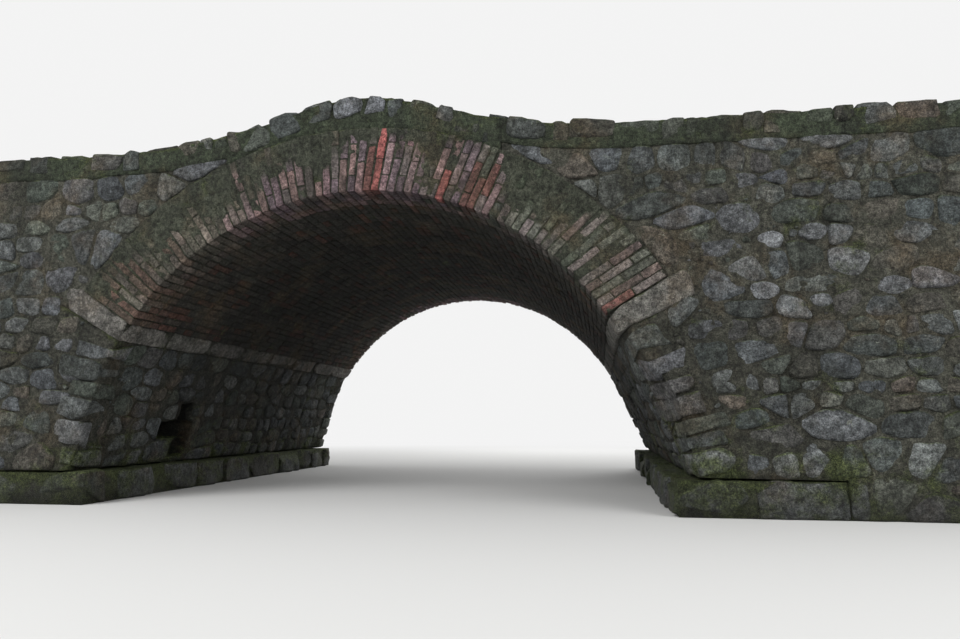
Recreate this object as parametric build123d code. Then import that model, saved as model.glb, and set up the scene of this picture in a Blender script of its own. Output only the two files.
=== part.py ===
from build123d import *
import os
from math import asin, cos, degrees, radians, sin

os.makedirs("parts", exist_ok=True)

# X runs along the road, Y from the front face to the rear, Z up from the foot of the walls.

# The round brick arch
arch_radius = 2620
arch_centre_height = 200
ring_depth = 600
springing_angle = 33.5
face_ring_width = 440

# The long stones that the brick springs from, one row on each side
skewback_thickness = 185
skewback_length = 750
skewback_stone_width = 780
stone_joint = 12

# The stone abutments, round at the top and leaning back below, the right one further
left_batter_angle = 16
right_batter_angle = 25
abutment_thickness = 1300
footing_height = 300
footing_ledge = 200
footing_stone_width = 890

# The hollow where stones have dropped out of the left abutment, behind its front face
hollow_from_front = 1240
hollow_width = 630
hollow_depth = 340
hollow_course = 200
hollow_sill = 60

# Walls and backing above the abutments
bridge_width = 6250
wall_thickness = 600
wing_wall_length = 1600
backing_height = 790

# The humped line of rough coping stones and the road between them
crown_cover = 300
crown_coping_reach = 1300
hump_rise = 390
hump_reach = 2450
crest_radius = 2000
coping_depth = 220
coping_width = 480
kerb_upstand = 60

# The two wheel tracks worn into the road
track_spacing = 1500
rut_width = 420
rut_depth = 35

# Places that follow from those sizes
front = -bridge_width / 2
rear = bridge_width / 2
extrados_radius = arch_radius + ring_depth
bed_angle = springing_angle - degrees(skewback_thickness / arch_radius)
skewback_end_radius = arch_radius + skewback_length
abutment_top = arch_centre_height + skewback_end_radius * sin(radians(bed_angle))
crown_top = arch_centre_height + extrados_radius + crown_cover
level_top = crown_top - hump_rise
backing_top = abutment_top + backing_height


def face_x(batter_angle, height):
    """How far from the middle a leaning face stands, at a height below the round soffit."""
    drop = (arch_centre_height - height) * sin(radians(batter_angle))
    return (arch_radius + drop) / cos(radians(batter_angle))


left_foot_x = face_x(left_batter_angle, footing_height)
abutment_back_x = left_foot_x + abutment_thickness
wall_end_x = abutment_back_x + wing_wall_length


def block(x_from, x_to, z_from, z_to):
    """An upright rectangle in the elevation."""
    middle = Pos((x_from + x_to) / 2, (z_from + z_to) / 2)
    return middle * Rectangle(x_to - x_from, z_to - z_from)


def disc(radius):
    """A disc about the arch's centre."""
    return Pos(0, arch_centre_height) * Circle(radius)


def voussoir(inner_radius, outer_radius, angle_from, angle_to):
    """A piece of ring between two beds that point at the arch's centre."""
    inner = CenterArc((0, 0), inner_radius, angle_from, angle_to - angle_from)
    outer = CenterArc((0, 0), outer_radius, angle_from, angle_to - angle_from)
    beds = [Line(inner @ 0, outer @ 0), Line(inner @ 1, outer @ 1)]
    return Pos(0, arch_centre_height) * make_face([inner, outer, *beds])


def under_coping_line(drop):
    """The elevation up to a line that lies a set drop below the coping's top."""
    reverse_radius = (hump_reach**2 + hump_rise**2) / (2 * hump_rise) - crest_radius
    turn = degrees(asin(hump_reach / (crest_radius + reverse_radius)))
    line_z = level_top - drop
    rise = JernArc((-hump_reach, line_z), (1, 0), reverse_radius, turn)
    crest = JernArc(rise @ 1, rise % 1, crest_radius, -2 * turn)
    fall = JernArc(crest @ 1, crest % 1, reverse_radius, turn)
    corners = [(wall_end_x, line_z), (wall_end_x, 0), (-wall_end_x, 0), (-wall_end_x, line_z)]
    return make_face([rise, crest, fall, Polyline(fall @ 1, *corners, rise @ 0)])


def waterway(batter_angle):
    """The clear opening: round above, spreading in straight lines down to the foot."""
    spring_z = arch_centre_height + arch_radius * sin(radians(batter_angle))
    right_side = [(face_x(batter_angle, 0), 0), (face_x(batter_angle, spring_z), spring_z)]
    left_side = [(-x, z) for x, z in reversed(right_side)]
    return disc(arch_radius) + make_face(Polyline(*right_side, *left_side, close=True))


def across(elevation, y_from, y_to):
    """An elevation carried across the bridge from one distance to another."""
    return extrude(Plane.XZ.offset(-y_from) * elevation, amount=y_from - y_to)


def stones_across(elevation, stone_width):
    """A row of like stones across the bridge, with open joints between them."""
    count = round(bridge_width / stone_width)
    pitch = (bridge_width + stone_joint) / count
    starts = [front + number * pitch for number in range(count)]
    return Part() + [across(elevation, start, start + pitch - stone_joint) for start in starts]


def abutment(batter_angle):
    """A stone abutment of the right-hand side, with the lean of its face."""
    elevation = block(0, abutment_back_x, footing_height, abutment_top)
    return across(elevation - waterway(batter_angle) - above_beds, front, rear)


def footing(batter_angle):
    """The ledge stones under an abutment of the right-hand side."""
    ledge_x = face_x(batter_angle, footing_height) - footing_ledge
    return stones_across(block(ledge_x, abutment_back_x, 0, footing_height), footing_stone_width)


def missing_stones():
    """The hollow in the left abutment: a wide stone gone, and two half stones about it."""
    middle_y = front + hollow_from_front + hollow_width / 2
    back_x = -left_foot_x - hollow_depth
    reach = left_foot_x + hollow_depth
    sill_z = footing_height + hollow_sill
    gaps = [(0.25, 0.5, 0), (0, 1, 1), (0.15, 0.4, 2)]
    hollow = Part()
    for shift, share, course in gaps:
        place = Pos(back_x, middle_y + shift * hollow_width, sill_z + course * hollow_course)
        stone = Box(reach, share * hollow_width, hollow_course, align=(Align.MIN, Align.CENTER, Align.MIN))
        hollow += place * stone
    return hollow


def worn_road(elevation):
    """A length of road between the copings, with the wheel tracks worn into it."""
    ruts = under_coping_line(0) - under_coping_line(kerb_upstand + rut_depth)
    road = across(elevation, *between_copings)
    for track_y in (-track_spacing / 2, track_spacing / 2):
        road -= across(ruts, track_y - rut_width / 2, track_y + rut_width / 2)
    return road


def save(name, shape):
    export_step(shape, f"parts/{name}.step")


def save_both_sides(name, shape):
    """Write a piece of the right-hand side and its twin on the left."""
    save(f"right_{name}", shape)
    save(f"left_{name}", mirror(shape, about=Plane.YZ))


# Elevations of the right-hand side, and of the pieces over the middle
between_walls = (front + wall_thickness, rear - wall_thickness)
between_copings = (front + coping_width, rear - coping_width)
arch = voussoir(arch_radius, extrados_radius, springing_angle, 180 - springing_angle)
skewback = voussoir(arch_radius, skewback_end_radius, bed_angle, springing_angle)
above_beds = voussoir(arch_radius, skewback_end_radius, bed_angle, 180 - bed_angle)
extrados = disc(extrados_radius)
top_bed = under_coping_line(coping_depth)
haunch = block(0, abutment_back_x, abutment_top, backing_top) - extrados - skewback
spandrel = (top_bed & block(crown_coping_reach, abutment_back_x, abutment_top, crown_top)) - extrados - skewback
spandrel_fill = (top_bed & block(crown_coping_reach, abutment_back_x, backing_top, crown_top)) - extrados
approach = top_bed & block(abutment_back_x, wall_end_x, 0, crown_top)
crown_strip = block(-crown_coping_reach, crown_coping_reach, 0, crown_top)
side_strip = block(crown_coping_reach, wall_end_x, 0, crown_top)
crown_coping = (under_coping_line(0) & crown_strip) - extrados
side_coping = (under_coping_line(0) & side_strip) - top_bed - extrados
crown_road = (under_coping_line(kerb_upstand) & crown_strip) - extrados
side_road = (under_coping_line(kerb_upstand) & side_strip) - top_bed - extrados

# The brick arch: a ring in each face and the barrel between them
save("front_arch_ring", across(arch, front, front + face_ring_width))
save("arch_barrel", across(arch, front + face_ring_width, rear - face_ring_width))
save("rear_arch_ring", across(arch, rear - face_ring_width, rear))

# Skewbacks, abutments and their footings
save_both_sides("skewback", stones_across(skewback, skewback_stone_width))
save("right_abutment", abutment(right_batter_angle))
save("left_abutment", mirror(abutment(left_batter_angle), about=Plane.YZ) - missing_stones())
save("right_footing", footing(right_batter_angle))
save("left_footing", mirror(footing(left_batter_angle), about=Plane.YZ))

# Walls and coping, along the front and along the rear
for face, outside, inward in (("front", front, 1), ("rear", rear, -1)):
    wall_ys = sorted((outside, outside + inward * wall_thickness))
    coping_ys = sorted((outside, outside + inward * coping_width))
    save_both_sides(f"{face}_spandrel_wall", across(spandrel, *wall_ys))
    save_both_sides(f"{face}_wing_wall", across(approach, *wall_ys))
    save_both_sides(f"{face}_coping", across(side_coping, *coping_ys))
    save(f"{face}_crown_coping", across(crown_coping, *coping_ys))

# What lies between the walls: backing, fill and the road on top
save_both_sides("haunch_backing", across(haunch, *between_walls))
save_both_sides("spandrel_fill", across(spandrel_fill, *between_walls))
save_both_sides("approach_fill", across(approach, *between_walls))
save_both_sides("road", worn_road(side_road))
save("crown_road", worn_road(crown_road))
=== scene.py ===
from functools import cache
from itertools import product
from math import atan, atan2, cos, hypot, pi, radians, sin, sqrt, tan

import bpy
import numpy as np
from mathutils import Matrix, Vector


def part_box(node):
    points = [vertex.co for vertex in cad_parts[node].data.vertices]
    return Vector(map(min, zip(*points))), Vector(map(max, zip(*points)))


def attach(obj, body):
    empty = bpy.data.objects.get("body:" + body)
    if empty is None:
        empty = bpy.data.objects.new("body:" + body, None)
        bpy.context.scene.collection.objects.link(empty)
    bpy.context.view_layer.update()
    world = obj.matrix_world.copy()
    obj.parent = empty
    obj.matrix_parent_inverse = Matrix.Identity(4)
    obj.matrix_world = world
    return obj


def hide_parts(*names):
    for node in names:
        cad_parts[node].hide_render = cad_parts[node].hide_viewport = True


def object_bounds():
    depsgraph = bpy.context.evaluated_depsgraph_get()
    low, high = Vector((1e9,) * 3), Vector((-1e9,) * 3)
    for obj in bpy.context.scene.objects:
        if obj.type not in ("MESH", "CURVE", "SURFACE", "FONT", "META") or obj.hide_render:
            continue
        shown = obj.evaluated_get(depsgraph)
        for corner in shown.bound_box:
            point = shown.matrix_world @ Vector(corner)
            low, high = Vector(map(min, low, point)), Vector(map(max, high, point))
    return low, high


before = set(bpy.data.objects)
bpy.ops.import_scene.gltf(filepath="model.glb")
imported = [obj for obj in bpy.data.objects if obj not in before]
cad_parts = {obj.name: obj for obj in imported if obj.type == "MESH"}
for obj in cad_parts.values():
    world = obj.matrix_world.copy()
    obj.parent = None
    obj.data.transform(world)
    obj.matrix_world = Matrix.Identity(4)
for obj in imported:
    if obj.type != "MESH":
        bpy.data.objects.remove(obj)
cad_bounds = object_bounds()

# Sizes of the bridge in metres, as built, from its middle at the foot of the walls
END_X, FACE_Y, CROWN_TOP = cad_bounds[1]
ARCH_RADIUS = 2.62
RING_DEPTH = 0.6
RING_WIDTH = 0.44
EXTRADOS = ARCH_RADIUS + RING_DEPTH
CENTRE_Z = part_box("front_arch_ring")[1].z - EXTRADOS
SPRINGING = radians(33.5)
SKEWBACK_BED = SPRINGING - 0.185 / ARCH_RADIUS
SKEWBACK_END = ARCH_RADIUS + 0.75
SKEWBACK_WIDTH = 0.78
SEAT_Z = CENTRE_Z + SKEWBACK_END * sin(SKEWBACK_BED)
FOOTING_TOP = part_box("right_footing")[1].z
FOOTING_LEDGE = 0.2
FOOTING_ROW = 0.66
BACK_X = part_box("right_footing")[1].x
WALL = 0.6
SPLIT_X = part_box("crown_road")[1].x
HUMP_RISE = 0.39
HUMP_REACH = 2.45
CREST_RADIUS = 2.00
COPING_DEPTH = 0.22
COPING_WIDTH = 0.48
LEVEL_TOP = CROWN_TOP - HUMP_RISE
WALL_TOP = LEVEL_TOP - COPING_DEPTH
KERB = 0.06
TRACK_FROM_MIDDLE = 0.75
TRACK_WIDTH = 0.24
TRACK_DEPTH = 0.035

# How far the stones and bricks of the inside reach behind their faces
BACK = 0.085

# Least and most height of the rubble's courses: in the faces, under the arch and at the ends
FACE_COURSES = (0.095, 0.23)
JAMB_COURSES = (0.11, 0.25)
END_COURSES = (0.12, 0.27)

# Rubble whose face is smaller than this is modelled from fewer points
SMALL_AREA = 0.008

# How far mortar and crust stop short of the bridge's ends, and how far crust stays under the coping's top
END_GAP = 0.035
CRUST_GAP = 0.022

STONE_JOINT = 0.012
BRICK_JOINT = 0.01
BRICK_LENGTH = 0.29
BRICK_WIDTH = 0.14
BRICK_HEIGHT = 0.065
BARREL_BRICK_DEPTH = 0.07

FACES = {"front": -1, "rear": 1}
SIDES = {"left": -1, "right": 1}


def colour(red, green, blue):
    """A colour written as on screen, 0 to 255, in the linear values that shaders take."""
    shares = np.array((red, green, blue)) / 255
    return np.where(shares <= 0.04045, shares / 12.92, ((shares + 0.055) / 1.055) ** 2.4)


STONES = [
    (86, 89, 88), (76, 80, 79), (94, 97, 94), (68, 72, 71), (101, 104, 104), (88, 84, 77),
    (80, 80, 78), (73, 78, 72), (90, 93, 95), (80, 84, 86), (72, 71, 65), (86, 90, 83),
]
CROWN_BRICKS = [
    (140, 117, 119), (124, 107, 113), (146, 121, 119), (116, 101, 107), (130, 112, 111), (108, 99, 97),
]
LEFT_BRICKS = [(111, 101, 94), (99, 94, 86), (117, 108, 98), (94, 90, 82), (105, 96, 91)]
LEFT_FOOT_BRICKS = [(106, 84, 76), (98, 79, 71), (96, 84, 75), (108, 92, 82)]
RIGHT_BRICKS = [(99, 98, 90), (114, 108, 102), (94, 96, 87), (121, 111, 108), (104, 93, 88), (86, 90, 79)]
# The soffit's brick colours, darker than the ring's as painted shade
SHADED_SOFFIT_BRICKS = [(70, 67, 62), (64, 61, 56), (76, 69, 63), (58, 56, 52), (86, 62, 54), (67, 66, 60)]
GRAVEL = [(112, 108, 98), (98, 95, 88), (126, 120, 108), (104, 96, 82)]
RED = colour(158, 96, 92)
DARK_RED = colour(116, 82, 77)
NOTED = colour(88, 90, 92)
PALE = colour(124, 127, 132)
SPRINGER = colour(113, 111, 106)
MORTAR = colour(72, 72, 64)
CRUST = colour(58, 65, 51)
EARTH = colour(84, 74, 60)
WORN_EARTH = colour(122, 115, 102)
MOSSY_EARTH = colour(66, 72, 46)


def jitter(tint, rng, spread=0.1):
    """A colour made a little lighter or darker, and a little warmer or cooler."""
    return np.array(tint) * rng.normal(1, spread) * rng.normal(1, spread / 8, 3)


def pick(palette, rng, spread=0.1):
    return jitter(colour(*palette[rng.integers(len(palette))]), rng, spread)


def columns(*parts):
    """Numbers side by side, one row for each point."""
    return np.stack(np.broadcast_arrays(*parts), axis=-1)


def noise(points, size, seed=0):
    """Smooth random heights between -1 and 1, in lumps about one size across."""
    place = np.asarray(points, float) / size + 31.7 * seed
    cell = np.floor(place).astype(np.int64)
    share = place - cell
    share = share * share * (3 - 2 * share)
    total = np.zeros(len(place))
    for corner in product((0, 1), repeat=3):
        at = cell + corner
        mixed = (at[:, 0] * 73856093) ^ (at[:, 1] * 19349663) ^ (at[:, 2] * 83492791)
        mixed = ((mixed ^ (mixed >> 13)) * 1274126177) & 0x7FFFFFFF
        weight = np.prod(np.where(corner, share, 1 - share), axis=1)
        total += weight * (mixed / 0x3FFFFFFF - 1)
    return total


def rough(points, size, seed=0):
    """Noise in three sizes, each half of the last."""
    return sum(0.5**step * noise(points, size / 2**step, seed + step) for step in range(3))


def coping_line(x):
    """The height of the coping's top along the bridge."""
    reverse_radius = (HUMP_REACH**2 + HUMP_RISE**2) / (2 * HUMP_RISE) - CREST_RADIUS
    turn_x = HUMP_REACH * CREST_RADIUS / (CREST_RADIUS + reverse_radius)
    away = np.abs(x)
    crest = CROWN_TOP - CREST_RADIUS + np.sqrt(CREST_RADIUS**2 - np.minimum(away, turn_x) ** 2)
    to_level = np.clip(HUMP_REACH - away, 0, HUMP_REACH - turn_x)
    foot = LEVEL_TOP + reverse_radius - np.sqrt(reverse_radius**2 - to_level**2)
    return np.where(away < turn_x, crest, foot)


def ring_top(x):
    """The height of the ring's outer curve."""
    return CENTRE_Z + np.sqrt(np.maximum(EXTRADOS**2 - np.square(x), 0))


def coping_bed(x):
    """The height of the coping's underside: on the ring at the crown, and level with the walls beside it."""
    return np.where(np.abs(x) < SPLIT_X, ring_top(x), coping_line(x) - COPING_DEPTH)


def slope_of(line, x, step=0.05):
    return (line(x + step) - line(x - step)) / (2 * step)


def polar(radius, angle):
    """X and Z at a distance and an angle from the arch's centre."""
    return radius * np.cos(angle), CENTRE_Z + radius * np.sin(angle)


class Jamb:
    """An abutment's inner face, measured along its slope from the footing up to the skewback."""

    def __init__(self, batter):
        self.batter = batter
        self.straight = (CENTRE_Z + ARCH_RADIUS * sin(batter) - FOOTING_TOP) / cos(batter)
        self.height = self.straight + ARCH_RADIUS * (SKEWBACK_BED - batter)
        self.foot_x = self.at(0, 0)[0]
        self.ledge_x = self.foot_x - FOOTING_LEDGE

    def lean(self, climb):
        """How far the face leans back from upright."""
        return self.batter + np.maximum(climb - self.straight, 0) / ARCH_RADIUS

    def at(self, climb, sunk):
        """X and Z of points on the face as on the right-hand side, sunk some way behind it."""
        below = np.maximum(self.straight - climb, 0)
        x, z = polar(ARCH_RADIUS + sunk, self.lean(climb))
        return x + below * sin(self.batter), z - below * cos(self.batter)


jambs = {"left": Jamb(radians(16)), "right": Jamb(radians(25))}


def outward(points, groups):
    """A closed shell's faces, in groups with the same number of corners, turned outwards."""
    volume = 0.0
    for group in groups:
        for corner in range(1, group.shape[1] - 1):
            first, second, third = (points[group[:, at]] for at in (0, corner, corner + 1))
            volume += np.einsum("ij,ij->", first, np.cross(second, third))
    return [group[:, ::-1] for group in groups] if volume < 0 else groups


def new_object(name, mesh):
    made = bpy.data.objects.new(name, mesh)
    bpy.context.scene.collection.objects.link(made)
    return made


class Pile:
    """Closed shells gathered into one piece, each with its own tint and material."""

    def __init__(self):
        self.points, self.faces, self.tints, self.slots, self.count = [], [], [], [], 0

    def add(self, points, groups, tint, slot=0):
        """Add a shell."""
        points = np.asarray(points, float)
        for group in outward(points, groups):
            self.faces.extend((group + self.count).tolist())
            self.slots.extend([slot] * len(group))
        self.points.append(points)
        self.tints.append(np.column_stack([np.broadcast_to(tint, points.shape), np.ones(len(points))]))
        self.count += len(points)

    def piece(self, name, materials, slot, *nodes):
        """Make the piece, which stands for CAD nodes and moves with the bridge."""
        mesh = bpy.data.meshes.new(name)
        mesh.from_pydata(np.concatenate(self.points).tolist(), [], self.faces)
        mesh.polygons.foreach_set("material_index", self.slots)
        mesh.polygons.foreach_set("use_smooth", [True] * len(self.faces))
        tint = mesh.color_attributes.new("tint", "FLOAT_COLOR", "POINT")
        tint.data.foreach_set("color", np.concatenate(self.tints).ravel())
        for material in materials:
            mesh.materials.append(material)
        mesh.update()
        made = new_object(name, mesh)
        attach(made, "root")
        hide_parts(*nodes)


@cache
def box_shell(counts):
    """The skin of a block divided into counts along each axis: lattice points and faces of four corners."""
    lattice = np.array([
        at for at in product(*(range(count + 1) for count in counts))
        if any(step in (0, count) for step, count in zip(at, counts))
    ])
    index = {tuple(at): number for number, at in enumerate(lattice)}
    quads = []
    for axis in range(3):
        one, two = (other for other in range(3) if other != axis)
        for level, i, j in product((0, counts[axis]), range(counts[one]), range(counts[two])):
            ring = []
            for step_one, step_two in ((0, 0), (1, 0), (1, 1), (0, 1)):
                at = [0, 0, 0]
                at[axis], at[one], at[two] = level, i + step_one, j + step_two
                ring.append(index[tuple(at)])
            quads.append(ring if (level > 0) == (axis != 1) else ring[::-1])
    return lattice, np.array(quads)


def block(size, counts, radius, lump, lump_size, seed):
    """A block with rounded edges and an uneven skin: points from one corner at the origin, and its faces."""
    lattice, quads = box_shell(counts)
    size = np.array(size, float)
    rounding = np.minimum(radius, size * 0.45)
    places = []
    for axis, count in enumerate(counts):
        steps = np.linspace(0, 1, count + 1)
        if count > 2:
            inner = np.linspace(rounding[axis], size[axis] - rounding[axis], count - 1)
            steps = np.concatenate([[0], inner, [size[axis]]]) / size[axis]
        places.append(steps[lattice[:, axis]] * size[axis])
    points = columns(*places)
    core = np.clip(points, rounding, size - rounding)
    away = points - core
    length = np.linalg.norm(away / rounding, axis=1, keepdims=True)
    out = away / np.maximum(np.linalg.norm(away, axis=1, keepdims=True), 1e-9)
    lumps = lump * rough(points + 7.3 * seed, lump_size, seed)
    return core + away / np.maximum(length, 1e-9) + out * lumps[:, None], [quads]


def rock(size, counts, rng, chip=0.4, lump=0.01):
    """A block broken to shape: chipped by flat breaks at its corners and edges, with an uneven skin."""
    points, groups = block(size, counts, 0.022, lump, 0.11, rng.integers(1000))
    middle = np.array(size) / 2
    points = points - middle
    for _ in range(10):
        out = rng.normal(size=3)
        out /= np.linalg.norm(out)
        reach = np.abs(out) @ middle - chip * rng.uniform(0.2, 1) * min(size)
        points = points - np.maximum(points @ out - reach, 0)[:, None] * out
    return points + middle, groups


def soften(corners, rounds=2):
    """Round the corners of a closed outline by cutting them off again and again."""
    for _ in range(rounds):
        after = np.roll(corners, -1, axis=0)
        pair = (0.85 * corners + 0.15 * after, 0.15 * corners + 0.85 * after)
        corners = np.stack(pair, axis=1).reshape(-1, 2)
    return corners


def spaced(corners, count):
    """Evenly spaced points along a closed outline."""
    closed = np.vstack([corners, corners[:1]])
    run = np.concatenate([[0], np.cumsum(np.linalg.norm(np.diff(closed, axis=0), axis=1))])
    at = np.linspace(0, run[-1], count, endpoint=False)
    return columns(*(np.interp(at, run, closed[:, axis]) for axis in (0, 1)))


def clip(corners, normal, reach):
    """The part of a convex outline on the near side of a straight line."""
    depth = corners @ normal - reach
    kept = []
    for number in range(len(corners)):
        before, here = depth[number - 1], depth[number]
        if (before > 0) != (here > 0):
            share = before / (before - here)
            kept.append(corners[number - 1] + share * (corners[number] - corners[number - 1]))
        if here <= 0:
            kept.append(corners[number])
    return np.array(kept).reshape(-1, 2)


def area(corners):
    after = np.roll(corners, -1, axis=0)
    return 0.5 * abs(np.sum(corners[:, 0] * after[:, 1] - corners[:, 1] * after[:, 0]))


# Places in a wall's face that its stones keep clear of


class Place:
    """A place whose foot is its nearest point to another point, given with the way out from there."""

    def away(self, point):
        foot, out = self.foot(point)
        return (point - foot) @ out


class Slab(Place):
    """A straight-sided place."""

    def __init__(self, middle, half, turn=0.0):
        self.middle, self.half = np.array(middle), np.array(half)
        self.axes = np.array([(cos(turn), sin(turn)), (-sin(turn), cos(turn))])

    def foot(self, point):
        held = np.clip(self.axes @ (point - self.middle), -self.half, self.half)
        foot = self.middle + held @ self.axes
        return foot, (point - foot) / max(np.linalg.norm(point - foot), 1e-9)


class Ring(Place):
    """The arch's outer curve, or its opening with the leaning faces below."""

    def __init__(self, radius, leaning):
        self.radius, self.leaning = radius, leaning

    def foot(self, point):
        side = -1 if point[0] < 0 else 1
        angle = atan2(point[1] - CENTRE_Z, side * point[0])
        if self.leaning:
            angle = max(angle, jambs["left" if side < 0 else "right"].batter)
        elif angle < SPRINGING:
            return point - (0, 9), np.array((0, 1))
        out = np.array((side * cos(angle), sin(angle)))
        depth = (point - (0, CENTRE_Z)) @ out - self.radius
        return point - depth * out, out


class CopingBed(Place):
    """The underside of the coping, which ends the walls at the top."""

    def foot(self, point):
        slope = slope_of(coping_bed, point[0])
        return np.array((point[0], coping_bed(point[0]))), np.array((slope, -1)) / hypot(slope, 1)


def rubble_cells(box, courses, keepouts, joint, rng, stretch=1.7):
    """Outlines of rubble stones in rough courses that fill a box and keep clear of some places."""
    low_u, high_u, low_v, high_v = box
    seeds = []
    v = low_v
    while v < high_v:
        height = min(rng.uniform(*courses), high_v - v + 0.02)
        u = low_u - rng.uniform(0, 0.2)
        while u < high_u:
            length = height * rng.uniform(0.8, 2.3) + 0.03
            if rng.random() > 0.07:
                seeds.append((u + length / 2, v + height * rng.uniform(0.3, 0.7)))
            u += length
        v += height
    seeds = np.array([
        seed for seed in seeds
        if low_u + 0.03 < seed[0] < high_u - 0.03 and low_v + 0.02 < seed[1] < high_v - 0.02
        and all(place.away(np.array(seed)) > 0.045 for place in keepouts)
    ])
    weights = rng.uniform(0, 0.012, len(seeds))
    scale = np.array((1, stretch))
    cells = []
    for seed, weight in zip(seeds, weights):
        corners = np.array([(low_u, low_v), (high_u, low_v), (high_u, high_v), (low_u, high_v)], float)
        distances = np.linalg.norm((seeds - seed) * scale, axis=1)
        for number in np.argsort(distances)[1:22]:
            normal = (seeds[number] - seed) * scale**2
            reach = 0.5 * (seeds[number] + seed) @ normal + 0.5 * (weight - weights[number])
            length = np.linalg.norm(normal)
            corners = clip(corners, normal / length, reach / length - joint * rng.uniform(0.2, 0.8))
        for place in keepouts:
            if len(corners) > 2:
                foot, out = place.foot(seed)
                corners = clip(corners, -out, -foot @ out - 0.5 * joint)
        if len(corners) > 2 and area(corners) > 0.003:
            cells.append(corners)
    return cells + pinnings(cells, box, keepouts, rng)


def pinnings(cells, box, keepouts, rng, tries=8000, least=0.016):
    """Small stones that fill the wider places between the others."""
    most = max(len(cell) for cell in cells)
    starts = np.array([np.resize(cell, (most, 2)) for cell in cells])
    ends = np.array([np.resize(np.roll(cell, -1, axis=0), (most, 2)) for cell in cells])
    along = (ends - starts) / np.maximum(np.linalg.norm(ends - starts, axis=2, keepdims=True), 1e-9)
    out = np.stack([along[..., 1], -along[..., 0]], axis=2)
    middles = np.array([cell.mean(axis=0) for cell in cells])
    out *= np.sign(np.einsum("ijk,ijk->ij", out, starts - middles[:, None]))[..., None]
    reach = np.einsum("ijk,ijk->ij", out, starts)
    spots = rng.uniform((box[0], box[2]), (box[1], box[3]), (tries, 2))
    made, places = [], np.zeros((0, 3))
    for spot in spots:
        room = np.max(out @ spot - reach, axis=1).min()
        if room < least:
            continue
        room = min([room] + [place.away(spot) for place in keepouts])
        if len(places):
            room = min(room, np.min(np.linalg.norm(places[:, :2] - spot, axis=1) - places[:, 2]))
        if room < least:
            continue
        radius = min(room - 0.005, 0.085)
        places = np.vstack([places, (*spot, radius)])
        angles = np.sort(rng.uniform(0, 2 * pi, 7)) + rng.uniform(0, pi)
        shape = columns(np.cos(angles), np.sin(angles)) * radius
        if area(shape) > 0.8 * radius**2:
            made.append(spot + shape)
    return made


def rubble_stone(corners, rng, many, few, plain=False):
    """A stone with a broken, rounded face, from many points or from few where it is small.

    Gives u, v and height above the wall's face, and its faces.
    """
    count = many if area(corners) > SMALL_AREA else few
    outline = spaced(soften(corners), count)
    middle = outline.mean(axis=0)
    breadth = sqrt(area(outline))
    seed = rng.integers(1000)
    edge = min(0.03, 0.15 * breadth)
    levels = [(0.97, -BACK), (1.0, -edge), (0.94, -0.3 * edge), (0.8, 0.0), (0.45, 0.0)]
    if plain:
        levels[2:] = [(0.9, -0.15 * edge), (0.55, 0.0)]
    flat = np.concatenate([middle + share * (outline - middle) for share, _ in levels] + [middle[None]])
    height = np.concatenate([np.full(count, level) for _, level in levels] + [[0.0]])
    place = columns(*flat.T, height)
    flat = flat + 0.1 * edge * columns(rough(place, 0.07, seed + 5), rough(place, 0.07, seed + 9))
    breaks = np.full(len(flat), 0.02)
    for _ in range(5):
        level = rng.uniform(0, 0.01)
        breaks = np.minimum(breaks, level + (flat - middle) @ rng.normal(0, 0.026 / breadth, 2))
    face = height > -BACK
    height = height + np.where(face, breaks + 0.0055 * rough(place + 3.1 * seed, 0.08, seed) - 0.004, 0)
    height = np.clip(height + rng.normal(0, 0.005), -BACK, 0.022)
    ring = np.arange(count)
    after = np.roll(ring, -1)
    quads = columns(ring, after, after + count, ring + count)
    last = (len(levels) - 1) * count
    bands = np.concatenate([quads + start for start in range(0, last, count)])
    groups = [bands, columns(ring + last, after + last, last + count), ring[::-1][None]]
    return flat[:, 0], flat[:, 1], height, groups


def shaped(counts, place, *given):
    """A shell of small faces, put in place from its shares of three sides."""
    lattice, quads = box_shell(counts)
    points = columns(*place(*given, *(lattice / counts).T))
    return points, outward(points, [quads])


def bed(pile, counts, tint, place, *given):
    """Mortar or earth behind the stones."""
    pile.add(*shaped(counts, place, *given), tint, 1)


def sunk(one, two, seed, middle=0.025, swing=0.019):
    """How far the mortar lies behind the faces of the stones: here nearly flush, there washed out."""
    return np.clip(middle + swing * rough(columns(one, two, 5.1 * seed), 0.14), 0.003, 0.06)


def mirrored(points, side):
    return points * np.array((side, 1, 1))


def painted_shade_under_arch(y):
    """Painted shade under the arch: how much darker the work is made, a distance in from the faces."""
    return 1 - 0.5 * np.clip((FACE_Y - np.abs(y)) / 1.6, 0, 1)


# Corner stones of the abutments and of the wall ends, chosen once so that both faces agree


def corner_stones(height, rng):
    """A stack of corner stones: where each starts and ends, and its lengths along the two faces."""
    stack, at, turn = [], 0.0, rng.random() > 0.5
    while at < height - 0.02:
        tall = rng.uniform(0.11, 0.28)
        if height - at - tall < 0.12:
            tall = height - at
        long, short = rng.uniform(0.32, 0.54), rng.uniform(0.18, 0.32)
        stack.append((at, at + tall, *((long, short) if turn else (short, long))))
        at += tall
        turn = not turn if rng.random() < 0.8 else turn
    return stack


CORNERS = list(product(SIDES, FACES))
corner_rng = np.random.default_rng(11)
jamb_corners = {corner: corner_stones(jambs[corner[0]].height, corner_rng) for corner in CORNERS}
end_corners = {corner: corner_stones(WALL_TOP, corner_rng) for corner in CORNERS}
jamb_corners["right", "front"] = [
    (start, end, max(along_face, 0.38), along_jamb)
    for start, end, along_face, along_jamb in jamb_corners["right", "front"]
]

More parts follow.
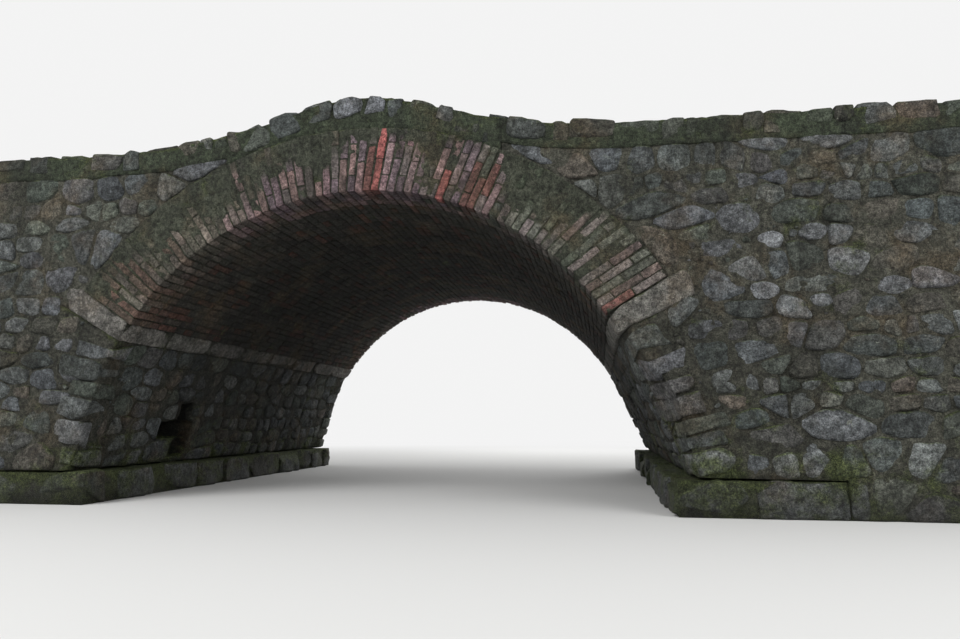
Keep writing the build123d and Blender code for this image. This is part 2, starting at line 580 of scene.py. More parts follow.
# Stones that stand out in the front face: x and z of the middle, half length, half height and lightness
NOTED_STONES = [
    (3.45, 1.81, 0.125, 0.085, 1.9), (3.52, 2.23, 0.115, 0.09, 2.1), (3.85, 2.29, 0.135, 0.08, 1.7),
    (3.88, 1.72, 0.095, 0.066, 1.3), (3.29, 2.43, 0.205, 0.145, 1.1), (3.12, 2.17, 0.215, 0.085, 0.9),
    (4.43, 1.83, 0.155, 0.085, 1.2), (3.32, 2.74, 0.145, 0.075, 1.0), (2.98, 1.5, 0.19, 0.1, 0.9),
    (-2.72, 1.22, 0.19, 0.115, 0.8), (-2.98, 0.98, 0.26, 0.07, 0.9), (-3.25, 2.3, 0.19, 0.09, 0.7),
]


def bed_slope(jamb, climb):
    """How steeply the beds of the corner stones run back into the wall: about half the face's lean."""
    return 0.55 * jamb.lean(climb)


def corner_place(jamb, climb, deep):
    """X and Z of points in a corner stone of an abutment."""
    x, z = jamb.at(climb, 0)
    slope = bed_slope(jamb, climb)
    return x + deep * np.cos(slope), z + deep * np.sin(slope)


# The break in the right-hand front edge of the opening: the height of its middle, its reach up and down from
# there, its depth, and how far it runs in from the face
BREAK_Z, BREAK_REACH, BREAK_DEPTH, BREAK_RUN = 0.98, 0.42, 0.19, 0.42


def knocked_back(points, depth=0.0):
    """Points of the right-hand abutment, with that edge broken back."""
    x, y, z = points.T
    climb = (z - FOOTING_TOP) / cos(jambs["right"].batter)
    worn = BREAK_DEPTH * np.exp(-(((z - BREAK_Z) / BREAK_REACH) ** 2)) + 0.03 * rough(points, 0.25, 6)
    inward = np.clip(1 - (y + FACE_Y) / BREAK_RUN, 0, 1)
    least = jambs["right"].at(climb, 0)[0] + worn * inward + depth
    return columns(np.where(inward > 0, np.maximum(x, least), x), y, z)


def upright_slabs(stack, sign, edge, which):
    """Where a stack of corner stones lies on one of its two faces, in from an upright edge."""
    slabs = []
    for start, end, *lengths in stack:
        half = 0.5 * lengths[which]
        slabs.append(Slab((sign * (edge - half), 0.5 * (start + end)), (half, 0.5 * (end - start))))
    return slabs


def edge_slabs(corners, side):
    """Where corner stones lie at both edges of a face that looks along the bridge."""
    slabs = []
    for face, sign in FACES.items():
        slabs += upright_slabs(corners[side, face], sign, FACE_Y, 1)
    return slabs


def face_keepouts(face):
    """What the rubble of a face keeps clear of."""
    places = [Ring(EXTRADOS, False), Ring(ARCH_RADIUS, True), CopingBed()]
    if face == "front":
        places += [Slab((x, z), (0.8 * long, 0.8 * tall)) for x, z, long, tall, _ in NOTED_STONES]
    angle = 0.5 * (SKEWBACK_BED + SPRINGING)
    radius = 0.5 * (ARCH_RADIUS + SKEWBACK_END)
    for side, sign in SIDES.items():
        jamb = jambs[side]
        x, z = polar(radius, angle)
        half = (0.5 * (SKEWBACK_END - ARCH_RADIUS), 0.5 * radius * (SPRINGING - SKEWBACK_BED))
        places.append(Slab((sign * x, z), half, sign * angle))
        half = (0.5 * (BACK_X - jamb.ledge_x), FOOTING_TOP)
        places.append(Slab((sign * 0.5 * (jamb.ledge_x + BACK_X), 0), half))
        for start, end, along_face, _ in jamb_corners[side, face]:
            climb = 0.5 * (start + end)
            x, z = corner_place(jamb, climb, 0.5 * along_face)
            half = (0.5 * along_face, 0.5 * (end - start))
            places.append(Slab((sign * x, z), half, sign * bed_slope(jamb, climb)))
        places += upright_slabs(end_corners[side, face], sign, END_X, 0)
    return places


def node_of_face(x, z, face):
    """The CAD node whose face holds a point of a wall."""
    side = "left" if x < 0 else "right"
    if abs(x) > BACK_X:
        return f"{side}_{face}_wing_wall"
    return f"{side}_{face}_spandrel_wall" if z > SEAT_Z else f"{side}_abutment"


def lay_face(piles, face, rng, count):
    """Rubble over the whole face of the bridge."""
    box = (-END_X, END_X, 0, CROWN_TOP)
    cells = rubble_cells(box, FACE_COURSES, face_keepouts(face), 0.015, rng)
    tints = [pick(STONES, rng, 0.14) for _ in cells]
    if face == "front":
        for x, z, long, tall, light in NOTED_STONES:
            angles = np.arange(9) * 2 * pi / 9 + rng.uniform(-0.25, 0.25, 9)
            shape = columns(long * np.cos(angles), tall * np.sin(angles)) * rng.uniform(0.92, 1.08)
            cells.append(np.array((x, z)) + shape)
            tints.append(NOTED * light)
    for corners, tint in zip(cells, tints):
        u, v, height, groups = rubble_stone(corners, rng, count, 14)
        points = columns(u, FACES[face] * (FACE_Y + height), v)
        piles[node_of_face(*corners.mean(axis=0), face)].add(points, groups, tint)


def corner_rock(stone, counts, rng):
    """A corner stone with room for its joints, raised to its place: points and faces."""
    start, end, *lengths = stone
    points, groups = rock(np.array((*lengths, end - start)) - STONE_JOINT, counts, rng)
    return points + (0, 0, start + STONE_JOINT / 2), groups


def lay_corners(piles, rng):
    """The larger stones at the edges of the abutments and at the ends of the walls."""
    for (side, face), stack in jamb_corners.items():
        for stone in stack:
            points, groups = corner_rock(stone, (8, 8, 6), rng)
            deep, inward, up = points.T
            x, z = corner_place(jambs[side], up, deep + rng.normal(0, 0.007))
            y = FACES[face] * (FACE_Y - inward + rng.normal(0, 0.007))
            shell = columns(x, y, z)
            if (side, face) == ("right", "front"):
                shell = knocked_back(shell)
            piles[f"{side}_abutment"].add(mirrored(shell, SIDES[side]), groups, pick(STONES, rng, 0.12))
    for (side, face), stack in end_corners.items():
        for stone in stack:
            points, groups = corner_rock(stone, (6, 6, 5), rng)
            x, y, z = points.T
            shell = columns(SIDES[side] * (END_X - x), FACES[face] * (FACE_Y - y), z)
            piles[f"{side}_{face}_wing_wall"].add(shell, groups, pick(STONES, rng, 0.12))


# The hollow in the left abutment's inner face, as in the CAD. Each course has the height of its foot, and how
# far it lies to the rear and how wide it is as shares of the hollow's width.
HOLLOW_WIDTH = 0.63
HOLLOW_MIDDLE = -FACE_Y + 1.24 + HOLLOW_WIDTH / 2
HOLLOW_COURSES = [(0.36, 0.25, 0.5), (0.56, 0.0, 1.0), (0.76, 0.15, 0.4)]
HOLLOW_COURSE = 0.2
HOLLOW_DEPTH = 0.34


def hollow_slabs():
    """The hollow's outlines on the inner face: across the bridge, and along the slope."""
    cosine = cos(jambs["left"].batter)
    slabs = []
    for low_z, shift, share in HOLLOW_COURSES:
        climb = (low_z + HOLLOW_COURSE / 2 - FOOTING_TOP) / cosine
        half = (0.5 * share * HOLLOW_WIDTH, 0.5 * HOLLOW_COURSE / cosine)
        slabs.append(Slab((HOLLOW_MIDDLE + shift * HOLLOW_WIDTH, climb), half))
    return slabs


def lay_jamb(piles, side, rng):
    """Rubble over an abutment's inner face, under the arch."""
    places = (hollow_slabs() if side == "left" else []) + edge_slabs(jamb_corners, side)
    box = (-FACE_Y, FACE_Y, 0, jambs[side].height)
    for corners in rubble_cells(box, JAMB_COURSES, places, 0.016, rng):
        u, v, height, groups = rubble_stone(corners, rng, 20, 12)
        x, z = jambs[side].at(v, -height)
        shell = columns(x, u, z)
        if side == "right":
            shell = knocked_back(shell)
        # Painted shade: the jamb's stones get darker further in under the arch
        tint = pick(STONES, rng, 0.12) * painted_shade_under_arch(corners[:, 0].mean())
        piles[f"{side}_abutment"].add(mirrored(shell, SIDES[side]), groups, tint)


def lay_end(piles, side, rng):
    """The rough broken end of the walls and of the rubble between them."""
    box = (-FACE_Y, FACE_Y, 0, WALL_TOP)
    for corners in rubble_cells(box, END_COURSES, edge_slabs(end_corners, side), 0.02, rng):
        u, v, height, groups = rubble_stone(corners, rng, 16, 12, plain=True)
        y = corners[:, 0].mean()
        node = f"{side}_approach_fill"
        if abs(y) > FACE_Y - WALL:
            node = f"{side}_{'front' if y < 0 else 'rear'}_wing_wall"
        points = columns(SIDES[side] * (END_X + height), u, v)
        piles[node].add(points, groups, pick(STONES, rng, 0.14))


# Brickwork of the arch

SWEEP = pi - 2 * SPRINGING
COURSES = round(SWEEP * ARCH_RADIUS / (BRICK_HEIGHT + BRICK_JOINT))
COURSE_ANGLE = SWEEP / COURSES

# The bricks outwards from the soffit, in the two kinds of course that take turns
COURSE_KINDS = ((BRICK_LENGTH, BRICK_LENGTH), (BRICK_WIDTH, BRICK_LENGTH, BRICK_WIDTH))


def spans(lengths, start):
    """Where each brick of a row starts and ends, with a joint after each."""
    for length in lengths:
        yield start, start + length
        start += length + BRICK_JOINT


def arch_brick(pile, angle, radial, across, counts, tint, rng, wear=0.003, crusted=0, tilt=0.0):
    """A brick of the arch, between two distances from the centre and two places across the bridge."""
    size = (radial[1] - radial[0], across[1] - across[0], BRICK_HEIGHT)
    points, groups = block(size, counts, rng.uniform(0.004, 0.012), wear, 0.05, rng.integers(1000))
    out, wide, up = points.T
    twist = rng.normal(0, 0.014)
    radius = radial[0] + out + rng.normal(0, 0.003)
    aside = up - BRICK_HEIGHT / 2 + twist * (out - size[0] / 2) + rng.normal(0, 0.0015)
    aside = aside + tan(tilt) * (radius - ARCH_RADIUS)
    y = across[0] + wide + rng.normal(0, 0.0045)
    x = radius * cos(angle) - aside * sin(angle)
    z = CENTRE_Z + radius * sin(angle) + aside * cos(angle)
    if crusted:
        covered = 0.85 * crust(radius, angle, crusted)
        tint = tint + covered[:, None] * (CRUST - tint)
    # Painted shade: ring bricks are darker where they show in the soffit, in from the faces
    darkened_as_painted_shade = (radius < ARCH_RADIUS + 0.012) & (np.abs(y) < FACE_Y - 0.008)
    pile.add(columns(x, y, z), groups, tint * np.where(darkened_as_painted_shade, 0.6, 1)[:, None])


# Round the ring from the right-hand springing, as angle and value: how much of its depth is bare of crust,
# and how many degrees the front's bricks stand out of true
BARE = (
    (34, 1), (44, 0.95), (48, 0.8), (52, 0.55), (56, 0.2), (62, 0.15), (65, 0.6), (66, 0.78), (74.5, 0.8),
    (76.5, 0.2), (79, 0.3), (81.5, 0.7), (86, 0.72), (94, 0.66), (97, 0.34), (102, 0.5), (108, 0.36),
    (114, 0.26), (134, 0.24), (140, 0.55), (146, 0.6),
)
TILTS = (
    (34, -3), (38, -7), (43, -9), (47, -7), (52, -1.5), (66, 0), (72, -4.5), (83, -6), (95, -4), (102, 0),
)


def round_ring(values, angle):
    return np.interp(np.degrees(angle), *zip(*values))


def crust(radius, angle, sign):
    """How far lime and dirt have covered the ring, from 0 to 1."""
    x, z = polar(radius, angle)
    spots = columns(x, 9.0 * sign, z)
    lumps = rough(spots, 0.24, 4) + 0.6 * rough(spots, 0.08, 7)
    out = (radius - ARCH_RADIUS) / RING_DEPTH
    return np.clip(3.0 * (out - round_ring(BARE, angle) + 0.3 * lumps), 0, 1)


# Bricks of the front ring that stand out, as course from the right and row from the soffit
RED_BRICKS = {(32, 0), (32, 1), (24, 0)}
DARK_RED_BRICKS = {(33, 0), (33, 1), (21, 1), (20, 0), (21, 0), (19, 1), (0, 0)}
MISSING_BRICKS = {(10, 1), (5, 0), (5, 1), (45, 2), (57, 2)}


def brick_tint(place, angle, rng):
    """Brick colours change round the ring: brown on the left, pinkish over the crown, mossy on the right."""
    for bricks, tint in ((RED_BRICKS, RED), (DARK_RED_BRICKS, DARK_RED)):
        if place in bricks:
            return jitter(tint, rng, 0.06)
    lean = (angle - pi / 2) / (pi / 2 - SPRINGING) + rng.normal(0, 0.12)
    if lean > 0.8:
        return pick(LEFT_FOOT_BRICKS, rng, 0.08)
    palette = LEFT_BRICKS if lean > 0.42 else RIGHT_BRICKS if lean < -0.38 else CROWN_BRICKS
    return pick(palette, rng, 0.14)


def lay_outer_course(pile, face, course, angle, rng):
    """The bricks of a course that show in a face of the bridge."""
    sign, broken = FACES[face], course % 2
    shift = rng.normal(0, 0.011, 2)
    lengths = np.array(COURSE_KINDS[broken])
    lengths[:2] += shift
    lengths[-1] -= shift.sum()
    tilt = radians(round_ring(TILTS, angle)) if face == "front" else 0.0
    for row, radial in enumerate(spans(lengths, ARCH_RADIUS)):
        place = (course, row) if face == "front" else None
        if place in MISSING_BRICKS:
            continue
        deep = BRICK_LENGTH if broken and row != 1 else BRICK_WIDTH
        across = sorted((sign * FACE_Y, sign * (FACE_Y - deep)))
        tint = brick_tint(place, angle, rng)
        crusted = 0 if place in RED_BRICKS | DARK_RED_BRICKS else sign
        arch_brick(pile, angle, radial, across, (6, 3, 3), tint, rng, 0.005, crusted, tilt)


def lay_inner_course(pile, face, course, angle, rng):
    """The bricks of a course of a face ring that show in the soffit only."""
    sign, broken = FACES[face], course % 2
    first = BRICK_LENGTH if broken else BRICK_WIDTH
    for start, end in spans([BRICK_WIDTH] * (2 - broken), first + BRICK_JOINT):
        across = sorted((sign * (FACE_Y - start), sign * (FACE_Y - end)))
        # Painted shade: these soffit bricks get darker further in under the arch
        tint = brick_tint(None, angle, rng) * painted_shade_under_arch(across[0])
        arch_brick(pile, angle, (ARCH_RADIUS, ARCH_RADIUS + BRICK_WIDTH), across, (1, 3, 3), tint, rng)


def lay_rings(piles, rng):
    """Both face rings: courses of two long bricks by turns with courses of short, long, short."""
    for face, course in product(FACES, range(COURSES)):
        angle = SPRINGING + (course + 0.5) * COURSE_ANGLE
        for lay in (lay_outer_course, lay_inner_course):
            lay(piles[f"{face}_arch_ring"], face, course, angle, rng)


def lay_barrel(piles, rng):
    """The bricks of the soffit between the rings."""
    half = FACE_Y - RING_WIDTH
    for course in range(COURSES):
        angle = SPRINGING + (course + 0.5) * COURSE_ANGLE
        length = BRICK_LENGTH if course % 2 else BRICK_WIDTH
        count = round(2 * half / (length + BRICK_JOINT))
        pitch = 2 * half / count
        for number in range(count):
            if rng.random() < 0.008:
                continue
            start = -half + number * pitch + BRICK_JOINT / 2
            across = (start, start + pitch - BRICK_JOINT)
            radial = (ARCH_RADIUS, ARCH_RADIUS + BARREL_BRICK_DEPTH)
            # Painted shade: the soffit's bricks get darker further in under the arch
            tint = pick(SHADED_SOFFIT_BRICKS, rng, 0.14) * (painted_shade_under_arch(start) - 0.15) / 0.6
            arch_brick(piles["arch_barrel"], angle, radial, across, (1, 3, 3), tint, rng, 0.004)


# Springers, footings and coping


def lay_skewbacks(piles, rng):
    """Long radial stones under the brickwork, eight across the bridge on each side."""
    count = round(2 * FACE_Y / SKEWBACK_WIDTH)
    pitch = (2 * FACE_Y + STONE_JOINT) / count
    size = (SKEWBACK_END - ARCH_RADIUS, pitch - STONE_JOINT, (SPRINGING - SKEWBACK_BED) * ARCH_RADIUS)
    for (side, sign), number in product(SIDES.items(), range(count)):
        start = -FACE_Y + number * pitch
        points, groups = rock(size, (16, 14, 6), rng, 0.35, 0.007)
        out, wide, up = points.T
        settled = 0.05 * out if (side, number) == ("right", 0) else 0
        x, z = polar(ARCH_RADIUS + out + rng.normal(0, 0.006), SKEWBACK_BED + (up - settled) / ARCH_RADIUS)
        shell = columns(sign * x, start + wide, z)
        # Painted shade: the skewbacks get darker further in under the arch
        tint = jitter(SPRINGER, rng, 0.06) * painted_shade_under_arch(start + pitch / 2)
        piles[f"{side}_skewback"].add(shell, groups, tint)


def lay_footings(piles, rng):
    """Ledge stones at the foot of the abutments, in two rows."""
    for (side, sign), row in product(SIDES.items(), range(2)):
        ledge_x = jambs[side].ledge_x
        split = ledge_x + FOOTING_ROW
        y = -FACE_Y
        while y < FACE_Y - 0.02:
            wide = rng.uniform(0.42, 0.95)
            if FACE_Y - y - wide < 0.4:
                wide = FACE_Y - y
            x_from, x_to = ((ledge_x + rng.uniform(0, 0.045), split), (split + STONE_JOINT, BACK_X))[row]
            size = (x_to - x_from, wide - 0.014, FOOTING_TOP - rng.uniform(0, 0.015))
            points, groups = rock(size, (11, 11, 7), rng, 0.46, 0.018)
            points[:, 2] = np.maximum(points[:, 2], 0)
            shell = mirrored(points + (x_from, y + 0.007, 0), sign)
            piles[f"{side}_footing"].add(shell, groups, pick(STONES, rng, 0.1) * 0.8)
            y += wide


# The two pale slabs on the front's crown lie between these joints
PALE_JOINTS = (-0.26, 0.04, 0.24)

# The lengths of the coping's stones, and how much of them crust can cover
SHORTEST, LONGEST = 0.13, 0.4
COVERS = (0.1, 0.3, 0.7)


def coping_joints(face, rng):
    """Where the coping's upright joints lie along the bridge."""
    joints = [-END_X]
    for end in (*(PALE_JOINTS if face == "front" else ()), END_X):
        while end - joints[-1] > LONGEST:
            most = min(LONGEST, end - joints[-1] - SHORTEST)
            joints.append(joints[-1] + rng.uniform(SHORTEST, most))
        joints.append(end)
    return joints


def coping_stone(pile, sign, start, end, pale, rng):
    """A rough stone set on edge on the hump, some way into the crust unless it is a pale slab."""
    middle = (start + end) / 2
    covered = 0.0 if pale else rng.choice(COVERS)
    top = float(coping_line(middle)) + (0 if pale else rng.normal(0.012 - 0.02 * covered, 0.007))
    tall = (top - float(coping_bed(middle))) * (0.62 if pale else rng.uniform(0.55, 0.92))
    size = (end - start - 0.006, COPING_WIDTH - rng.uniform(0, 0.07), tall)
    points, groups = rock(size, (8, 9, 7), rng, 0.3, 0.011)
    local_x, inward, local_z = (points - (size[0] / 2, 0, tall / 2)).T
    lean = atan(slope_of(coping_line, middle)) + rng.normal(0, 0.025)
    along = middle + local_x * cos(lean) - local_z * sin(lean)
    z = np.minimum(top - tall / 2 + local_x * sin(lean) + local_z * cos(lean), coping_line(along) + 0.03)
    proud = 0.016 if pale else rng.normal(0.008 - 0.025 * covered, 0.006)
    y = sign * (FACE_Y - inward + proud)
    tint = PALE * (1.1 if middle < 0 else 0.8) if pale else pick(STONES, rng, 0.12) * 0.85
    tint = tint + covered * (CRUST - tint)
    pile.add(columns(np.clip(along, -END_X, END_X), y, z), groups, tint)


def lay_coping(piles, rng):
    """The coping's stones on both faces."""
    for face, sign in FACES.items():
        joints = coping_joints(face, rng)
        for start, end in zip(joints, joints[1:]):
            middle = (start + end) / 2
            node = f"{face}_crown_coping"
            if abs(middle) > SPLIT_X:
                node = f"{'left' if middle < 0 else 'right'}_{face}_coping"
            pale = face == "front" and start in PALE_JOINTS[:2]
            coping_stone(piles[node], sign, start, end, pale, rng)


# Mortar and earth behind the stones, each placed from its shares along or outwards, across and up


def spandrel_foot(x):
    """The foot of a spandrel wall's mortar: on the ring, and level behind it."""
    return np.where(np.abs(x) < EXTRADOS * cos(SPRINGING), ring_top(x), SEAT_Z) - 0.02


def crust_edge(x):
    """The ragged lower edge of the crust on the coping."""
    return coping_bed(x) - 0.018 + 0.014 * rough(columns(x, 0, 0), 0.22)


def crown_edge(x):
    """The same at the crown, where the coping lies on the ring right up to its ends."""
    return crust_edge(0.999 * x)


def strip(side, face, reach, low, high, width, u, v, w):
    """A wall's mortar or a coping's crust, from its outer face inwards, between two lines."""
    crusted = high is coping_line
    x = reach[0] + u * (reach[1] - reach[0])
    x = side * np.where((u == 1) & (reach[1] == END_X), x - END_GAP, x)
    z = low(x) + w * (high(x) - CRUST_GAP * crusted - low(x))
    deep = sunk(x, z, face, 0.011 if crusted else 0.025)
    if crusted:
        z = np.where(w == 1, z + 0.012 * rough(columns(x, v * width, face), 0.16, 5), z)
    return x, face * np.where(v == 0, FACE_Y - deep, FACE_Y - width), z


# What lies along each face, to the left and right of the crown: name, counts, tint, where it starts and ends,
# the lines that it lies between, and width
STRIPS = (
    ("spandrel_wall", (46, 2, 28), MORTAR, (SPLIT_X, BACK_X), spandrel_foot, coping_bed, WALL),
    ("wing_wall", (28, 8, 54), MORTAR, (BACK_X, END_X), np.zeros_like, coping_bed, WALL),
    ("coping", (80, 6, 5), CRUST, (SPLIT_X, END_X), crust_edge, coping_line, COPING_WIDTH),
)


def lay_strips(piles, face, face_sign):
    """The mortar of a face's walls and the crust of its coping."""
    for (side, sign), (part, counts, tint, *given) in product(SIDES.items(), STRIPS):
        bed(piles[f"{side}_{face}_{part}"], counts, tint, strip, sign, face_sign, *given)
    crown = ((-SPLIT_X, SPLIT_X), crown_edge, coping_line, COPING_WIDTH)
    bed(piles[f"{face}_crown_coping"], (52, 6, 6), CRUST, strip, 1, face_sign, *crown)


def ring_mortar(sign, u, v, w):
    """A face ring's mortar, swollen where the crust covers it."""
    angle = SPRINGING + w * SWEEP
    radius = ARCH_RADIUS + 0.016 + u * (RING_DEPTH - 0.03)
    x, z = polar(radius, angle)
    covered = crust(radius, angle, sign)
    lumps = rough(columns(x, z - CENTRE_Z, 0), 0.08, 12)
    lumps += covered * noise(columns(36 * angle, 5 * radius, 0), 1.0, 13)
    deep = np.where(v == 0, 0.01 - 0.018 * covered + (0.006 + 0.01 * covered) * lumps, RING_WIDTH)
    return x, sign * (FACE_Y - deep), z


def barrel_mortar(u, v, w):
    angle = SPRINGING + w * SWEEP
    x, z = polar(ARCH_RADIUS + np.where(u == 0, sunk(4 * angle, v * 5, 4, 0.01, 0.01), RING_DEPTH), angle)
    return x, (2 * v - 1) * (FACE_Y - RING_WIDTH), z


def skewback_mortar(sign, u, v, w):
    x, z = polar(ARCH_RADIUS + 0.03 + u * 0.69, SKEWBACK_BED + w * (SPRINGING - SKEWBACK_BED))
    return sign * x, (2 * v - 1) * (FACE_Y - 0.03), z


def footing_mortar(sign, first_x, u, v, w):
    x = first_x + u * (BACK_X - first_x)
    return sign * x, (2 * v - 1) * (FACE_Y - 0.03), w * (FOOTING_TOP - 0.012)


def approach_earth(sign, u, v, w):
    y, z = (2 * v - 1) * (FACE_Y - WALL), w * WALL_TOP
    x = BACK_X + u * (END_X - BACK_X) - np.where(u == 1, sunk(y, z, 9, 0.035), 0)
    return sign * x, y, z


def abutment_mortar(sign, jamb, u, v, w):
    """An abutment's mortar, from its inner face to its back, up to the skewback's bed and level behind it."""
    climb, y = w * jamb.height, 2 * v - 1
    x_in, z_in = jamb.at(climb, np.where(u == 0, sunk(y * 3, climb, 5 + sign), 0.03))
    x = x_in + u * (BACK_X - x_in)
    tops = [np.minimum(CENTRE_Z + at * tan(SKEWBACK_BED), SEAT_Z) for at in (x, x_in)]
    level, level_in = (FOOTING_TOP + w * (top - FOOTING_TOP) for top in tops)
    z = level + (1 - u) * (z_in - level_in)
    out = np.where(np.abs(y) == 1, sunk(x * sign, z, np.sign(y)), 0)
    return sign * x, y * (FACE_Y - out), z


def darkened_as_painted_shade(points):
    """The tint of the abutments' mortar, with painted shade: darker under the arch, and nearly black inside
    the hollow.
    """
    x, y, z = points.T
    left = jambs["left"]
    face_x = left.at(np.maximum((z - FOOTING_TOP) / cos(left.batter), 0), 0)[0]
    hole = (-x - face_x > 0.03) & (np.abs(y - HOLLOW_MIDDLE) < 0.5 * HOLLOW_WIDTH + 0.05)
    hole &= (z > 0.33) & (z < 0.99)
    return np.outer(np.where(hole, 0.12, painted_shade_under_arch(y)), MORTAR * 0.75)


def plain_object(name, points, groups):
    mesh = bpy.data.meshes.new(name)
    mesh.from_pydata(points.tolist(), [], [face for group in groups for face in group.tolist()])
    return new_object(name, mesh)


def hollowed(points, groups):
    """The left abutment's mortar with the hollow of the missing stones cut into it."""
    made = [plain_object("abutment_body", points, groups)]
    for number, (low_z, shift, share) in enumerate(HOLLOW_COURSES):
        size = (HOLLOW_DEPTH + 0.6, share * HOLLOW_WIDTH, HOLLOW_COURSE + 0.004)
        shape, faces = block(size, (16, 10, 7), 0.035, 0.026, 0.14, number + 3)
        start_y = HOLLOW_MIDDLE + (shift - share / 2) * HOLLOW_WIDTH
        shape = shape + (-jambs["left"].foot_x - HOLLOW_DEPTH, start_y, low_z)
        made.append(plain_object(f"hollow_{number}", shape, outward(shape, faces)))
        boolean = made[0].modifiers.new(f"hollow_{number}", "BOOLEAN")
        boolean.operation, boolean.solver, boolean.object = "DIFFERENCE", "EXACT", made[-1]
    bpy.context.view_layer.update()
    mesh = made[0].evaluated_get(bpy.context.evaluated_depsgraph_get()).to_mesh()
    corners = np.array([vertex.co for vertex in mesh.vertices])
    faces = [np.array([list(face.vertices)]) for face in mesh.polygons]
    for extra in made:
        bpy.data.objects.remove(extra)
    return corners, faces


def lay_mortar(piles):
    """The mortar that stones and bricks are set in, nearly flush here and washed out there."""
    for face, counts in (("front", (26, 1, 230)), ("rear", (20, 1, 170))):
        lay_strips(piles, face, FACES[face])
        bed(piles[f"{face}_arch_ring"], counts, 0.5 * (MORTAR + CRUST), ring_mortar, FACES[face])
    # The barrel's mortar is darkened as painted shade
    bed(piles["arch_barrel"], (1, 60, 80), MORTAR * 0.4, barrel_mortar)
    for side, sign in SIDES.items():
        jamb = jambs[side]
        bed(piles[f"{side}_skewback"], (1, 1, 1), MORTAR * 0.7, skewback_mortar, sign)
        bed(piles[f"{side}_footing"], (1, 1, 1), MORTAR * 0.6, footing_mortar, sign, jamb.ledge_x + 0.07)
        bed(piles[f"{side}_approach_fill"], (2, 64, 40), EARTH, approach_earth, sign)
        points, groups = shaped((20, 100, 21), abutment_mortar, sign, jamb)
        if side == "left":
            points, groups = hollowed(points, groups)
        else:
            points = knocked_back(points, 0.02)
        piles[f"{side}_abutment"].add(points, groups, darkened_as_painted_shade(points), 1)


# Road

ROAD_HALF = FACE_Y - COPING_WIDTH - 0.004
ROAD_COUNTS = (230, 64, 1)
ROAD_END = END_X - 0.02


def tracks(y):
    """How much of a wheel track there is, from 0 to 1, a distance from the middle of the road."""
    return sum(np.exp(-(((y - at) / TRACK_WIDTH) ** 2)) for at in (-TRACK_FROM_MIDDLE, TRACK_FROM_MIDDLE))


def road_height(x, y):
    """The road's uneven top: cambered, and worn into two wheel tracks."""
    ground = coping_line(x) - KERB + 0.03 * (1 - (y / ROAD_HALF) ** 2) - TRACK_DEPTH * tracks(y)
    return ground + 0.016 * rough(columns(x, y, 0), 0.55, 3)


def road_tint(y, patches):
    """Bare earth in the wheel tracks, and moss between and beside them."""
    worn = np.clip(1.2 * tracks(y) - 0.2 + 0.35 * patches, 0, 1)[:, None]
    beside = np.maximum(1 - np.abs(y) / 0.35, (np.abs(y) - ROAD_HALF + 0.5) / 0.5)
    beside = np.clip(beside + 0.5 * patches, 0, 1)[:, None]
    tint = EARTH * 1.15 + worn * (WORN_EARTH - EARTH * 1.15)
    return tint + 0.7 * beside * (MOSSY_EARTH - tint)


def lay_road(pile):
    """The ground between the copings, ragged at both ends."""
    lattice, quads = box_shell(ROAD_COUNTS)
    across, side, level = (lattice / ROAD_COUNTS).T
    x, y = (across * 2 - 1) * ROAD_END, (side * 2 - 1) * ROAD_HALF
    flat = columns(x, y, 0)
    x = np.where(np.abs(x) == ROAD_END, x - np.sign(x) * (0.02 + 0.02 * rough(flat, 0.25, 16)), x)
    ground = road_height(x, y) + 0.006 * rough(flat, 0.11, 8)
    under = np.where(np.abs(x) < SPLIT_X, coping_bed(x) + 0.01, coping_line(x) - COPING_DEPTH)
    z = np.where(level == 1, np.maximum(ground, under + 0.02), under)
    pile.add(columns(x, y, z), [quads], road_tint(y, rough(flat, 0.5, 15)))


def lay_gravel(pile, rng, count=1700):
    """Pebbles strewn over the road."""
    reach = np.array((END_X - 0.1, ROAD_HALF - 0.05))
    for _ in range(count):
        spot = rng.uniform(-reach, reach)
        size = (0.014 + 0.036 * rng.random() ** 2) * np.array((1, rng.uniform(0.6, 1), rng.uniform(0.4, 0.7)))
        points, groups = block(2 * size, (2, 2, 2), 1.0, 0.15 * size[2], 0.03, rng.integers(1000))
        turn = rng.uniform(0, pi)
        points = points - size
        around = points[:, :2] @ np.array([(cos(turn), sin(turn)), (-sin(turn), cos(turn))]) + spot
        z = points[:, 2] + road_height(*spot[:, None])
        pile.add(columns(*around.T, z), groups, pick(GRAVEL, rng, 0.16), 1)


# Materials


